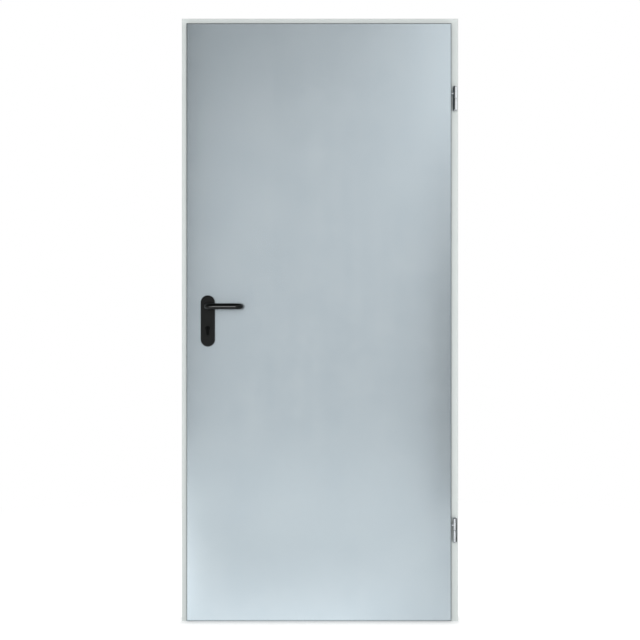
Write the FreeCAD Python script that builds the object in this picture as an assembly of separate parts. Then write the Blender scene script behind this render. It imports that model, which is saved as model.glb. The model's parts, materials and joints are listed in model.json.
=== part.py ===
import FreeCAD, Part
import math
import os

# Steel utility door: a rebated sheet-steel leaf hung in a folded steel corner frame.
# Millimetres. The front view looks along +Y, the hinges are on the +X side and +Z is up.
# The origin is the hinge-side edge of the wall opening, at floor level, in the plane of the wall.

# Wall opening
opening_width = 900.0
opening_height = 2000.0

# Folded frame, measured on the section of one side
frame_sheet = 1.5
frame_bend = 1.5
wall_cover = 11.0
flange_width = 13.0
face_stand = 12.0
rebate_inset = 17.0
stop_inset = 32.0
rebate_depth = 26.0
soffit_depth = 36.0
back_return = 18.0

# Rubber seal on the stop
seal_inset = 6.0
seal_width = 6.0
seal_gap = 0.4

# Leaf
leaf_thickness = 40.0
lip_thickness = 15.0
lip_gap = 5.0
hinge_lap = 3.5
lock_lap = 10.5
head_lap = 8.0
hinge_gap = 5.5
lock_gap = 6.0
head_gap = 6.0
floor_gap = 6.0
leaf_sheet = 0.8
lip_bend = 3.0
body_bend = 2.0
seam_lap = 7.0

# Hinges
knuckle_diameter = 15.0
knuckle_half = 42.0
knuckle_chamfer = 3.0
knuckle_split = 0.4
knuckle_clear = 5.2
pin_diameter = 8.0
pin_running = 0.05
pin_reach = 32.0
pin_end = 1.0
arm_diameter = 9.0
arm_offset = 17.0
upper_hinge_drop = 241.0
hinge_pitch = 1435.0
backing_width = 22.0
backing_height = 80.0
backing_sheet = 3.0

# Lock
spindle_height = 1050.0
backset = 55.0
key_drop = 72.0
forend_width = 18.0
forend_length = 235.0
forend_sheet = 3.0
forend_rise = 85.0
case_depth = 85.0
case_height = 165.0
case_thickness = 15.0
case_rise = 50.0
bolt_thickness = 10.0
bolt_proud = 1.0
bolt_offset = 1.0
bolt_play = 0.25
latch_height = 30.0
latch_rise = 11.0
dead_height = 34.0
dead_drop = 61.0
lock_plane = -3.0
strike_play = 1.0
strike_margin = 6.0
strike_wall = 1.0
strike_depth = 12.0

# Handle set
plate_width = 47.0
plate_height = 170.0
plate_thickness = 9.0
plate_edge = 4.0
plate_rise = 37.0
lever_diameter = 20.0
lever_stand = 50.0
lever_reach = 120.0
lever_bend = 22.0
lever_return_gap = 16.0
lever_tip_chamfer = 3.0
lever_running = 0.5
collar_diameter = 18.0
collar_length = 7.0
collar_play = 0.1
spindle_side = 8.0
spindle_grip = 24.0
socket_play = 0.05
spindle_way = 16.0

# Key insert in the shape of a profile cylinder
profile_round = 17.0
profile_web = 10.0
profile_drop = 24.5
profile_proud = 1.0
profile_play = 0.25
keyhole_diameter = 6.0
keyhole_slot = 2.6
keyhole_drop = 11.0
keyhole_depth = 6.0

# Wall anchors
anchor_sheet = 2.0
anchor_width = 30.0
anchor_bend = 2.0
anchor_foot = 10.0
anchor_length = 80.0
anchor_hole = 11.0
anchor_hole_inset = 20.0
anchor_low = 180.0
anchor_high_drop = 320.0

# Planes and edges that several pieces share
face_front = -face_stand
stop_plane = face_front + rebate_depth
frame_back = stop_plane + soffit_depth
frame_top = opening_height + wall_cover
rebate_hinge = -rebate_inset
rebate_lock = rebate_inset - opening_width
rebate_head = opening_height - rebate_inset
lip_back = face_front - lip_gap
leaf_front = lip_back - lip_thickness
leaf_back = leaf_front + leaf_thickness
leaf_right = rebate_hinge + hinge_lap
leaf_left = rebate_lock - lock_lap
leaf_top = rebate_head + head_lap
body_right = rebate_hinge - hinge_gap
body_left = rebate_lock + lock_gap
body_top = rebate_head - head_gap
axis_x = leaf_right + knuckle_clear + knuckle_diameter / 2
axis_y = leaf_front + lip_thickness / 2
spindle_x = body_left + backset
key_height = spindle_height - key_drop
case_front = body_left + forend_sheet
anchor_pitch = (opening_height - anchor_high_drop - anchor_low) / 2
far_away = 3 * (opening_width + opening_height)
plane_tolerance = 1e-6


def vec(x, y, z):
    return FreeCAD.Vector(x, y, z)


def block(x_range, y_range, z_range):
    size = [high - low for low, high in (x_range, y_range, z_range)]
    return Part.makeBox(*size, vec(x_range[0], y_range[0], z_range[0]))


def centred(middle, width):
    return middle - width / 2, middle + width / 2


def rod(diameter, start, end):
    along = end - start
    return Part.makeCylinder(diameter / 2, along.Length, start, along)


def mirrored_to_lock_side(shape):
    return shape.mirror(vec(-opening_width / 2, 0, 0), vec(1, 0, 0))


def moved(shape, x, y, z):
    copy = shape.copy()
    copy.translate(vec(x, y, z))
    return copy


def directions(points):
    pairs = zip(points, points[1:])
    return [(after - before).normalize() for before, after in pairs]


def right_of(direction):
    return vec(direction.y, -direction.x, 0)


def offset_right(points, distance):
    # Each corner moves along the bisector of the two normals beside it.
    normals = [right_of(direction) for direction in directions(points)]
    before = [normals[0]] + normals
    after = normals + [normals[-1]]
    result = []
    for point, first, second in zip(points, before, after):
        result.append(point + (first + second) * (distance / (1 + first.dot(second))))
    return result


def rounded_path(points, radii):
    # Straight runs joined by arcs that are tangent to both.
    ways = directions(points)
    edges = []
    start = points[0]
    for corner, first, second, radius in zip(points[1:], ways, ways[1:], radii):
        half_turn = first.getAngle(second) / 2
        tangent = radius * math.tan(half_turn)
        inward = (second - first).normalize()
        entry = corner - first * tangent
        leave = corner + second * tangent
        middle = corner + inward * (radius / math.cos(half_turn) - radius)
        edges.append(Part.LineSegment(start, entry).toShape())
        edges.append(Part.Arc(entry, middle, leave).toShape())
        start = leave
    edges.append(Part.LineSegment(start, points[-1]).toShape())
    return edges


def folded_strip(points, sheet, inside):
    # Section of a folded sheet: the points run along one skin and the sheet lies to the right.
    ways = directions(points)
    turns_left = [first.cross(second).z > 0 for first, second in zip(ways, ways[1:])]
    near = [inside if left else inside + sheet for left in turns_left]
    far = [inside + sheet if left else inside for left in turns_left]
    back = offset_right(points, sheet)
    edges = rounded_path(points, near)
    edges.append(Part.LineSegment(points[-1], back[-1]).toShape())
    edges += rounded_path(back[::-1], far[::-1])
    edges.append(Part.LineSegment(back[0], points[0]).toShape())
    return Part.Face(Part.Wire(edges))


def upright(section):
    # A side member stands on the floor and is cut at 45 degrees at the upper corner.
    stick = section.extrude(vec(0, 0, frame_top))
    return stick.cut(above_mitre())


def above_mitre():
    points = [
        vec(-far_away, 0, opening_height - far_away),
        vec(far_away, 0, opening_height + far_away),
        vec(-far_away, 0, opening_height + far_away),
    ]
    outline = Part.Face(Part.makePolygon(points + points[:1]))
    return moved(outline.extrude(vec(0, 2 * far_away, 0)), 0, -far_away, 0)


def across_head(section):
    # The same section laid across the top, with both ends cut at 45 degrees.
    stick = section.extrude(vec(0, 0, opening_width + 2 * wall_cover))
    stick.translate(vec(0, 0, -wall_cover))
    stick.rotate(vec(0, 0, 0), vec(0, 1, 0), -90)
    stick.translate(vec(0, 0, opening_height))
    beyond = above_mitre()
    return stick.common(beyond).common(mirrored_to_lock_side(beyond))


def frame_section():
    corners = [
        (wall_cover - flange_width, 0),
        (wall_cover, 0),
        (wall_cover, face_front),
        (-rebate_inset, face_front),
        (-rebate_inset, stop_plane),
        (-stop_inset, stop_plane),
        (-stop_inset, frame_back),
        (-stop_inset + back_return, frame_back),
    ]
    points = [vec(x, y, 0) for x, y in corners]
    return folded_strip(points, frame_sheet, frame_bend)


def seal_section():
    middle = seal_inset - stop_inset
    crown = leaf_back + seal_gap
    shoulder = crown + seal_width / 2
    left, right = centred(middle, seal_width)
    foot_left = vec(left, stop_plane, 0)
    foot_right = vec(right, stop_plane, 0)
    side_left = vec(left, shoulder, 0)
    side_right = vec(right, shoulder, 0)
    edges = [
        Part.LineSegment(foot_left, side_left).toShape(),
        Part.Arc(side_left, vec(middle, crown, 0), side_right).toShape(),
        Part.LineSegment(side_right, foot_right).toShape(),
        Part.LineSegment(foot_right, foot_left).toShape(),
    ]
    return Part.Face(Part.Wire(edges))


def strike_hole(z_range):
    y_range = centred(lock_plane + bolt_offset, bolt_thickness + 2 * strike_play)
    low, high = z_range
    through = (rebate_lock - 2 * frame_sheet, rebate_lock + frame_sheet)
    return block(through, y_range, (low - strike_margin, high + strike_margin))


def latch_range():
    return centred(spindle_height + latch_rise, latch_height)


def dead_range():
    return centred(spindle_height - dead_drop, dead_height)


def strike_box():
    # A closed mortar box behind the two strike holes, open towards the leaf.
    hidden_face = rebate_lock - frame_sheet
    x_range = (hidden_face - strike_depth, hidden_face)
    z_range = (dead_range()[0] - 2 * strike_margin, latch_range()[1] + 2 * strike_margin)
    y_range = (face_front + frame_sheet + frame_bend, stop_plane - frame_bend)
    outside = block(x_range, y_range, z_range)
    low = [edge[0] + strike_wall for edge in (x_range, y_range, z_range)]
    high = [edge[1] - strike_wall for edge in (y_range, z_range)]
    inside = block((low[0], hidden_face), (low[1], high[0]), (low[2], high[1]))
    return outside.cut(inside)


def anchor():
    # Bent strap: its foot is welded behind the rebate and its end lies on the wall reveal.
    foot_x = rebate_hinge + frame_sheet
    foot_end = stop_plane - frame_bend
    slope = -foot_x - anchor_sheet
    corners = [
        (foot_x, foot_end - anchor_foot),
        (foot_x, foot_end),
        (foot_x + slope, foot_end + slope),
        (foot_x + slope, foot_end + slope + anchor_length),
    ]
    points = [vec(x, y, 0) for x, y in corners]
    strap = folded_strip(points, anchor_sheet, anchor_bend)
    solid = strap.extrude(vec(0, 0, anchor_width))
    solid.translate(vec(0, 0, -anchor_width / 2))
    hole_y = foot_end + slope + anchor_length - anchor_hole_inset
    bore = rod(anchor_hole, vec(-far_away, hole_y, 0), vec(far_away, hole_y, 0))
    return solid.cut(bore)


def edges_on(shape, y):
    # Edges that lie wholly in one plane across the leaf's thickness.
    found = []
    for edge in shape.Edges:
        box = edge.BoundBox
        if max(abs(box.YMin - y), abs(box.YMax - y)) < plane_tolerance:
            found.append(edge)
    return found


def rounded_tray(x_range, y_range, z_range, radius, planes):
    shape = block(x_range, y_range, z_range)
    for plane in planes:
        shape = shape.makeFillet(radius, edges_on(shape, plane))
    return shape


def shrunk(limits, sheet):
    return limits[0] + sheet, limits[1] - sheet


def profile_prism(play):
    # The outline of a profile cylinder: a round head with a web hanging from it.
    head = rod(profile_round + 2 * play, vec(0, -far_away, 0), vec(0, far_away, 0))
    web_round = profile_web + 2 * play
    end = -profile_drop + profile_web / 2
    web = block(centred(0, web_round), (-far_away, far_away), (end, 0))
    tip = rod(web_round, vec(0, -far_away, end), vec(0, far_away, end))
    outline = head.fuse(web).fuse(tip).removeSplitter()
    return moved(outline, spindle_x, 0, key_height)


def spindle_way_through():
    start = vec(spindle_x, -far_away, spindle_height)
    return rod(spindle_way, start, vec(spindle_x, far_away, spindle_height))


def leaf_front_sheet():
    x_range = (leaf_left, leaf_right)
    y_range = (leaf_front, lip_back)
    z_range = (floor_gap, leaf_top)
    outer = rounded_tray(x_range, y_range, z_range, lip_bend, y_range)
    hollow = [shrunk(limits, leaf_sheet) for limits in (x_range, y_range, z_range)]
    inner = rounded_tray(*hollow, lip_bend - leaf_sheet, hollow[1])
    window = block(
        shrunk((body_left, body_right), seam_lap),
        (lip_back - 2 * leaf_sheet, lip_back + leaf_sheet),
        shrunk((floor_gap, body_top), seam_lap),
    )
    tray = outer.cut(inner).cut(window)
    return tray.cut(spindle_way_through()).cut(profile_prism(profile_play))


def leaf_rear_sheet():
    x_range = (body_left, body_right)
    y_range = (lip_back, leaf_back)
    z_range = (floor_gap, body_top)
    outer = rounded_tray(x_range, y_range, z_range, body_bend, [leaf_back])
    hollow_y = (lip_back - leaf_sheet, leaf_back - leaf_sheet)
    hollow_x = shrunk(x_range, leaf_sheet)
    hollow_z = shrunk(z_range, leaf_sheet)
    inner = rounded_tray(hollow_x, hollow_y, hollow_z, body_bend - leaf_sheet, hollow_y[1:])
    tray = outer.cut(inner).cut(forend_blank())
    return tray.cut(spindle_way_through()).cut(profile_prism(profile_play))


def forend_blank():
    top = spindle_height + forend_rise
    return block(
        (body_left, case_front),
        centred(lock_plane, forend_width),
        (top - forend_length, top),
    )


def bolt(z_range, play):
    y_range = centred(lock_plane + bolt_offset, bolt_thickness + 2 * play)
    low, high = z_range
    return block((body_left - bolt_proud, case_front), y_range, (low - play, high + play))


def lock_forend():
    return forend_blank().cut(bolt(latch_range(), bolt_play)).cut(bolt(dead_range(), bolt_play))


def lock_case():
    top = spindle_height + case_rise
    case = block(
        (case_front, case_front + case_depth),
        centred(lock_plane, case_thickness),
        (top - case_height, top),
    )
    return case.cut(spindle_way_through()).cut(profile_prism(0))


def key_insert():
    body = profile_prism(0)
    reach = leaf_thickness + 2 * (plate_thickness + profile_proud)
    front = leaf_front - plate_thickness - profile_proud
    slab = block((-far_away, far_away), (front, front + reach), (-far_away, far_away))
    body = body.common(slab)
    for outside, inward in ((front, keyhole_depth), (front + reach, -keyhole_depth)):
        start = vec(spindle_x, outside, key_height)
        end = vec(spindle_x, outside + inward, key_height)
        slot = block(
            centred(spindle_x, keyhole_slot),
            sorted((outside, outside + inward)),
            (key_height - keyhole_drop, key_height),
        )
        body = body.cut(rod(keyhole_diameter, start, end)).cut(slot)
    return body


def plate(seat, outward):
    # Long plate with round ends and a rounded rim; outward is the sign of its face along Y.
    face = seat + outward * plate_thickness
    radius = plate_width / 2
    top = spindle_height + plate_rise
    high = vec(spindle_x, seat, top - radius)
    low = vec(spindle_x, seat, top - plate_height + radius)
    side = vec(radius, 0, 0)
    crown = vec(0, 0, radius)
    edges = [
        Part.Arc(high - side, high + crown, high + side).toShape(),
        Part.LineSegment(high + side, low + side).toShape(),
        Part.Arc(low + side, low - crown, low - side).toShape(),
        Part.LineSegment(low - side, high - side).toShape(),
    ]
    solid = Part.Face(Part.Wire(edges)).extrude(vec(0, face - seat, 0))
    solid = solid.makeFillet(plate_edge, edges_on(solid, face))
    bore_start = vec(spindle_x, -far_away, spindle_height)
    bore_end = vec(spindle_x, far_away, spindle_height)
    bore = rod(collar_diameter + 2 * collar_play, bore_start, bore_end)
    return solid.cut(bore).cut(profile_prism(profile_play))


def lever(seat, outward):
    # Round bar bent twice: out from the plate, along the leaf and back towards it.
    face = seat + outward * plate_thickness
    grip = seat + outward * lever_stand
    tip_x = spindle_x + lever_reach - lever_diameter / 2
    start = vec(spindle_x, face + outward * lever_running, spindle_height)
    points = [
        start,
        vec(spindle_x, grip, spindle_height),
        vec(tip_x, grip, spindle_height),
        vec(tip_x, seat + outward * lever_return_gap, spindle_height),
    ]
    path = Part.Wire(rounded_path(points, [lever_bend, lever_bend]))
    ring = Part.Circle(start, vec(0, outward, 0), lever_diameter / 2).toShape()
    bar = path.makePipeShell([Part.Wire([ring])], True, False)
    bar = bar.makeChamfer(lever_tip_chamfer, edges_on(bar, points[-1].y))
    inner = vec(spindle_x, face - outward * collar_length, spindle_height)
    bar = bar.fuse(rod(collar_diameter, start, inner)).removeSplitter()
    socket_end = start.y + outward * spindle_grip
    socket = square_bar(sorted((inner.y, socket_end)), spindle_side + 2 * socket_play)
    return bar.cut(socket)


def square_bar(y_range, side):
    return block(centred(spindle_x, side), y_range, centred(spindle_height, side))


def spindle():
    inside = plate_thickness + lever_running + spindle_grip
    return square_bar((leaf_front - inside, leaf_back + inside), spindle_side)


def knuckle(split, end):
    # Half of a hinge barrel: flat where the halves meet and chamfered at its outer end.
    radius = knuckle_diameter / 2
    shoulder = end - math.copysign(knuckle_chamfer, end - split)
    barrel = rod(knuckle_diameter, on_axis(split), on_axis(shoulder))
    way = on_axis(end) - on_axis(shoulder)
    crown = radius - knuckle_chamfer
    cone = Part.makeCone(radius, crown, knuckle_chamfer, on_axis(shoulder), way)
    return barrel.fuse(cone)


def on_axis(z):
    return vec(axis_x, axis_y, z)


def hinge_leaf_half(height):
    split = height + knuckle_split / 2
    arm_z = height + arm_offset
    barrel = knuckle(split, height + knuckle_half)
    arm = rod(arm_diameter, on_axis(arm_z), vec(leaf_right, axis_y, arm_z))
    bore_top = height + pin_reach + pin_end
    bore = rod(pin_diameter + 2 * pin_running, on_axis(height), on_axis(bore_top))
    return barrel.fuse(arm).cut(bore).removeSplitter()


def hinge_frame_half(height):
    split = height - knuckle_split / 2
    arm_z = height - arm_offset
    barrel = knuckle(split, height - knuckle_half)
    arm = rod(arm_diameter, on_axis(arm_z), vec(axis_x, face_front, arm_z))
    bore = rod(pin_diameter, on_axis(height - pin_reach), on_axis(height))
    return barrel.fuse(arm).cut(bore).removeSplitter()


def hinge_pin(height):
    return rod(pin_diameter, on_axis(height - pin_reach), on_axis(height + pin_reach))


def hinge_backing(height):
    inside_face = face_front + frame_sheet
    return block(
        centred((wall_cover - rebate_inset) / 2, backing_width),
        (inside_face, inside_face + backing_sheet),
        centred(height - arm_offset, backing_height),
    )


pieces = {}

# Frame
hinge_side = upright(frame_section())
lock_side = mirrored_to_lock_side(hinge_side)
pieces["hinge_jamb"] = hinge_side
pieces["lock_jamb"] = lock_side.cut(strike_hole(latch_range())).cut(strike_hole(dead_range()))
pieces["frame_head"] = across_head(frame_section())
pieces["strike_box"] = strike_box()

# Seals
pieces["seal_hinge_side"] = upright(seal_section())
pieces["seal_lock_side"] = mirrored_to_lock_side(upright(seal_section()))
pieces["seal_head"] = across_head(seal_section())

# Wall anchors, three on each side
for level, place in enumerate(("low", "middle", "high")):
    strap = moved(anchor(), 0, 0, anchor_low + level * anchor_pitch)
    pieces[f"anchor_hinge_side_{place}"] = strap
    pieces[f"anchor_lock_side_{place}"] = mirrored_to_lock_side(strap)

# Hinges
upper_hinge = rebate_head - upper_hinge_drop
for place, height in (("upper", upper_hinge), ("lower", upper_hinge - hinge_pitch)):
    pieces[f"hinge_{place}_leaf_half"] = hinge_leaf_half(height)
    pieces[f"hinge_{place}_frame_half"] = hinge_frame_half(height)
    pieces[f"hinge_{place}_pin"] = hinge_pin(height)
    pieces[f"hinge_{place}_backing"] = hinge_backing(height)

# Leaf and lock
pieces["leaf_front_sheet"] = leaf_front_sheet()
pieces["leaf_rear_sheet"] = leaf_rear_sheet()
pieces["lock_forend"] = lock_forend()
pieces["lock_case"] = lock_case()
pieces["latch_bolt"] = bolt(latch_range(), 0)
pieces["dead_bolt"] = bolt(dead_range(), 0)
pieces["key_insert"] = key_insert()

# Handle set
for place, seat, outward in (("front", leaf_front, -1), ("rear", leaf_back, 1)):
    pieces[f"plate_{place}"] = plate(seat, outward)
    pieces[f"lever_{place}"] = lever(seat, outward)
pieces["spindle"] = spindle()

os.makedirs("parts", exist_ok=True)
for name, shape in pieces.items():
    shape.exportStep(f"parts/{name}.step")
    box = shape.BoundBox
    print(name, shape.isValid(), len(shape.Solids), round(shape.Volume), box)
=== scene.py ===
import json
import math

import bmesh
import bpy
import numpy as np
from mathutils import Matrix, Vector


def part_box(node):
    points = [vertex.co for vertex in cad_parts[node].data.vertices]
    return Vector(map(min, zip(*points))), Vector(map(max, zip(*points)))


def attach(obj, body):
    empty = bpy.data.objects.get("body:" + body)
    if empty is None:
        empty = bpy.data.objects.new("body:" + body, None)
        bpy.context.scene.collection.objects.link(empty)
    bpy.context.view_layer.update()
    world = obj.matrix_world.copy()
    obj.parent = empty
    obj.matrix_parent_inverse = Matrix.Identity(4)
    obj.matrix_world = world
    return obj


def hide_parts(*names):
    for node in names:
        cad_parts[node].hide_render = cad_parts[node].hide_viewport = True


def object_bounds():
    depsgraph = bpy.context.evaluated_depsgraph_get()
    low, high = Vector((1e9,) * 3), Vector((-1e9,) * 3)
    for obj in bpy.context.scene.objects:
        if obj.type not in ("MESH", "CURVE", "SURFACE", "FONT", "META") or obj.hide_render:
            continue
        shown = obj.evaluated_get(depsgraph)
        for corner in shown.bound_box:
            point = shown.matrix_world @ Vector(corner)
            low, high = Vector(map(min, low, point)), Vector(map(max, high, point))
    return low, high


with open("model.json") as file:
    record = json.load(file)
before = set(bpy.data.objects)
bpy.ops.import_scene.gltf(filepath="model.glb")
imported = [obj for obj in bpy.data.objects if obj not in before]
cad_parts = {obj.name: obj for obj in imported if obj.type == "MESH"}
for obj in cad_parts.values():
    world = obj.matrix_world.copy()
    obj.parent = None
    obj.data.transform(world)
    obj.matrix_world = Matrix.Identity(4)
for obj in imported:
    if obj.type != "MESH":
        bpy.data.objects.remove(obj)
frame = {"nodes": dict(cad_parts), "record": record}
cadBox = [list(corner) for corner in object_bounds()]
mm = 0.001
mergeDistance = 1e-7  # metres, for doubles at poles and seams


# Small helpers

def linearColour(hexText):
    # sRGB hex to linear light: the low end is a straight line, the rest a power of 2.4.
    value = np.array([int(hexText[i:i + 2], 16) for i in (1, 3, 5)]) / 255
    light = np.where(value <= 0.04045, value / 12.92, ((value + 0.055) / 1.055) ** 2.4)
    return (*light.tolist(), 1.0)


def addNode(tree, kind, sockets=None, **settings):
    # A socket takes a plain value or a link from another node's output.
    node = tree.nodes.new(kind)
    for name, value in settings.items():
        setattr(node, name, value)
    for name, value in (sockets or {}).items():
        if isinstance(value, bpy.types.NodeSocket):
            tree.links.new(value, node.inputs[name])
        else:
            node.inputs[name].default_value = value
    return node


def newMaterial(name):
    material = bpy.data.materials.new(name)
    material.use_nodes = True
    tree = material.node_tree
    tree.nodes.clear()
    output = addNode(tree, "ShaderNodeOutputMaterial")
    place = addNode(tree, "ShaderNodeTexCoord").outputs["Object"]
    return material, tree, output, place


def gridFaces(rows, columns, closeRows=False, closeColumns=False):
    # Quads between neighbours on a rows by columns grid, wrapped round where a way is closed.
    r = np.arange(rows if closeRows else rows - 1)[:, None]
    c = np.arange(columns if closeColumns else columns - 1)[None, :]
    nextR = (r + 1) % rows
    nextC = (c + 1) % columns
    corners = [r * columns + c, r * columns + nextC, nextR * columns + nextC, nextR * columns + c]
    return np.stack(corners, -1).reshape(-1, 4)


def newPiece(name, parts, material, body):
    # Each part is a grid of points with its quads and caps. Doubles at poles and seams are merged.
    mesh = bpy.data.meshes.new(name)
    points, faces, start = [], [], 0
    for grid, quads, caps in parts:
        flat = grid.reshape(-1, 3)
        points.append(flat)
        faces += (quads + start).tolist()
        faces += [(np.asarray(cap) + start).tolist() for cap in caps]
        start += len(flat)
    mesh.from_pydata(np.concatenate(points).tolist(), [], faces)
    work = bmesh.new()
    work.from_mesh(mesh)
    bmesh.ops.remove_doubles(work, verts=work.verts, dist=mergeDistance)
    bmesh.ops.recalc_face_normals(work, faces=work.faces)
    work.to_mesh(mesh)
    work.free()
    mesh.shade_smooth()
    mesh.materials.append(material)
    piece = bpy.data.objects.new(name, mesh)
    bpy.context.scene.collection.objects.link(piece)
    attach(piece, body)
    return piece


# Materials

sheetLook = {
    "light": "#CAD5DB", "dark": "#C2CED5", "roughness": 0.25, "swing": 0.02, "metal": 0.78,
    "spangle": 18 * mm, "spangleShare": 0.16,
    "cloud": 160 * mm, "cloudDetail": 4.0, "cloudRoughness": 0.55,
    "streak": 45 * mm, "streakDetail": 3.0, "streakStretch": 0.06, "streakShare": 0.5,
    "toneFrom": 0.5, "toneTo": 1.2,
    "pillow": 5.0 * mm, "pillowPower": 6.0,
    # painted shade along the folds: its colour, where it starts and ends, the roughness there, and
    # its share on the lip's side between two depths
    "foldShade": "#747D81", "foldShadeFrom": 3.6 * mm, "foldShadeTo": 1.8 * mm, "foldRoughness": 0.40,
    "foldShadeSide": 0.4, "sideFrom": 3 * mm, "sideTo": 7 * mm,
}


def sheetMottle(tree, place):
    # Clouds, with a share of the spangle's cells and of streaks along the rolling added.
    spangle = addNode(tree, "ShaderNodeTexVoronoi", {
        "Vector": place, "Scale": 1 / sheetLook["spangle"]})
    cell = addNode(tree, "ShaderNodeSeparateColor", {0: spangle.outputs["Color"]})
    cloud = addNode(tree, "ShaderNodeTexNoise", {
        "Vector": place, "Scale": 1 / sheetLook["cloud"], "Detail": sheetLook["cloudDetail"],
        "Roughness": sheetLook["cloudRoughness"]})
    drawn = addNode(tree, "ShaderNodeMapping", {
        "Vector": place, "Scale": (1.0, 1.0, sheetLook["streakStretch"])})
    streak = addNode(tree, "ShaderNodeTexNoise", {
        "Vector": drawn.outputs[0], "Scale": 1 / sheetLook["streak"],
        "Detail": sheetLook["streakDetail"]})
    patch = addNode(tree, "ShaderNodeMath", {
        0: cell.outputs[0], 1: sheetLook["spangleShare"], 2: cloud.outputs[0]},
        operation="MULTIPLY_ADD")
    mottle = addNode(tree, "ShaderNodeMath", {
        0: streak.outputs[0], 1: sheetLook["streakShare"], 2: patch.outputs[0]},
        operation="MULTIPLY_ADD")
    return mottle.outputs[0]


def sheetPillow(tree, across, low, high):
    # The height falls with a power of the distance from the middle, across the leaf.
    centred = addNode(tree, "ShaderNodeMapRange", {
        0: across, 1: low.x, 2: high.x, 3: -1.0, 4: 1.0})
    size = addNode(tree, "ShaderNodeMath", {0: centred.outputs[0]}, operation="ABSOLUTE")
    fall = addNode(tree, "ShaderNodeMath", {
        0: size.outputs[0], 1: sheetLook["pillowPower"]}, operation="POWER")
    height = addNode(tree, "ShaderNodeMath", {
        0: fall.outputs[0], 1: -sheetLook["pillow"]}, operation="MULTIPLY")
    bent = addNode(tree, "ShaderNodeBump", {
        "Height": height.outputs[0], "Strength": 1.0, "Distance": 1.0})
    return bent.outputs[0]


def sheetFoldShade(tree, place, depth, low, high):
    # Painted shade along the folds: how near the place is to an edge of the front sheet, across or
    # up, whichever is nearer. It weakens on the lip's side.
    offset = addNode(tree, "ShaderNodeVectorMath", {
        0: place, 1: (low + high) / 2}, operation="SUBTRACT")
    apart = addNode(tree, "ShaderNodeVectorMath", {0: offset.outputs[0]}, operation="ABSOLUTE")
    inset = addNode(tree, "ShaderNodeVectorMath", {
        0: (high - low) / 2, 1: apart.outputs[0]}, operation="SUBTRACT")
    insetAxes = addNode(tree, "ShaderNodeSeparateXYZ", {0: inset.outputs[0]})
    nearer = addNode(tree, "ShaderNodeMath", {
        0: insetAxes.outputs[0], 1: insetAxes.outputs[2]}, operation="MINIMUM")
    near = addNode(tree, "ShaderNodeMapRange", {
        0: nearer.outputs[0], 1: sheetLook["foldShadeFrom"], 2: sheetLook["foldShadeTo"]})
    ahead = addNode(tree, "ShaderNodeMapRange", {
        0: depth, 1: low.y + sheetLook["sideFrom"], 2: low.y + sheetLook["sideTo"],
        3: 1.0, 4: sheetLook["foldShadeSide"]})
    foldShade = addNode(tree, "ShaderNodeMath", {
        0: near.outputs[0], 1: ahead.outputs[0]}, operation="MULTIPLY")
    return foldShade.outputs[0]


def galvanisedSheet():
    # Hot-dip galvanised sheet, skin-passed: bluish zinc with a soft sheen, faint spangle and broad
    # clouds. The flat is slightly crowned and falls back to its folded edges. Along the folds the
    # colour is painted darker and the roughness raised: a painted shade for the dark reflections
    # and gap shadows at the leaf's edges, weaker on the lip's side.
    material, tree, output, place = newMaterial("hot-dip galvanised sheet")
    low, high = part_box("leaf_front_sheet")
    axes = addNode(tree, "ShaderNodeSeparateXYZ", {0: place})
    mottle = sheetMottle(tree, place)
    foldShade = sheetFoldShade(tree, place, axes.outputs[1], low, high)
    toneFrom, toneTo = sheetLook["toneFrom"], sheetLook["toneTo"]
    roughness, swing = sheetLook["roughness"], sheetLook["swing"]
    tone = addNode(tree, "ShaderNodeMapRange", {0: mottle, 1: toneFrom, 2: toneTo})
    colour = addNode(tree, "ShaderNodeMix", {
        0: tone.outputs[0], 6: linearColour(sheetLook["dark"]),
        7: linearColour(sheetLook["light"])}, data_type="RGBA")
    gloss = addNode(tree, "ShaderNodeMapRange", {
        0: mottle, 1: toneFrom, 2: toneTo, 3: roughness - swing, 4: roughness + swing})
    # painted shade: the colour is darkened along the folds
    foldShaded = addNode(tree, "ShaderNodeMix", {
        0: foldShade, 6: colour.outputs[2], 7: linearColour(sheetLook["foldShade"])}, data_type="RGBA")
    dull = addNode(tree, "ShaderNodeMix", {
        0: foldShade, 2: gloss.outputs[0], 3: sheetLook["foldRoughness"]})
    shader = addNode(tree, "ShaderNodeBsdfPrincipled", {
        "Base Color": foldShaded.outputs[2], "Metallic": sheetLook["metal"],
        "Roughness": dull.outputs[0],
        "Normal": sheetPillow(tree, axes.outputs[0], low, high)})
    tree.links.new(shader.outputs[0], output.inputs[0])
    return material


coatLook = {
    "light": "#D6DBD9", "dark": "#CFD5D3", "roughness": 0.42, "swing": 0.06,
    "peel": 2.6 * mm, "peelDetail": 2.0, "peelDepth": 0.05 * mm, "peelStrength": 0.6,
    "cloud": 90 * mm, "cloudDetail": 3.0,
}


def powderCoat():
    # Polyester powder coat in pale grey: an even satin skin with a fine orange peel.
    material, tree, output, place = newMaterial("polyester powder coat")
    peel = addNode(tree, "ShaderNodeTexNoise", {
        "Vector": place, "Scale": 1 / coatLook["peel"], "Detail": coatLook["peelDetail"]})
    cloud = addNode(tree, "ShaderNodeTexNoise", {
        "Vector": place, "Scale": 1 / coatLook["cloud"], "Detail": coatLook["cloudDetail"]})
    colour = addNode(tree, "ShaderNodeMix", {
        0: cloud.outputs[0], 6: linearColour(coatLook["dark"]),
        7: linearColour(coatLook["light"])}, data_type="RGBA")
    gloss = addNode(tree, "ShaderNodeMapRange", {
        0: peel.outputs[0], 3: coatLook["roughness"] - coatLook["swing"],
        4: coatLook["roughness"] + coatLook["swing"]})
    bump = addNode(tree, "ShaderNodeBump", {
        "Height": peel.outputs[0], "Strength": coatLook["peelStrength"],
        "Distance": coatLook["peelDepth"]})
    shader = addNode(tree, "ShaderNodeBsdfPrincipled", {
        "Base Color": colour.outputs[2], "Metallic": 0.0, "Roughness": gloss.outputs[0],
        "Normal": bump.outputs[0]})
    tree.links.new(shader.outputs[0], output.inputs[0])
    return material


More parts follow.
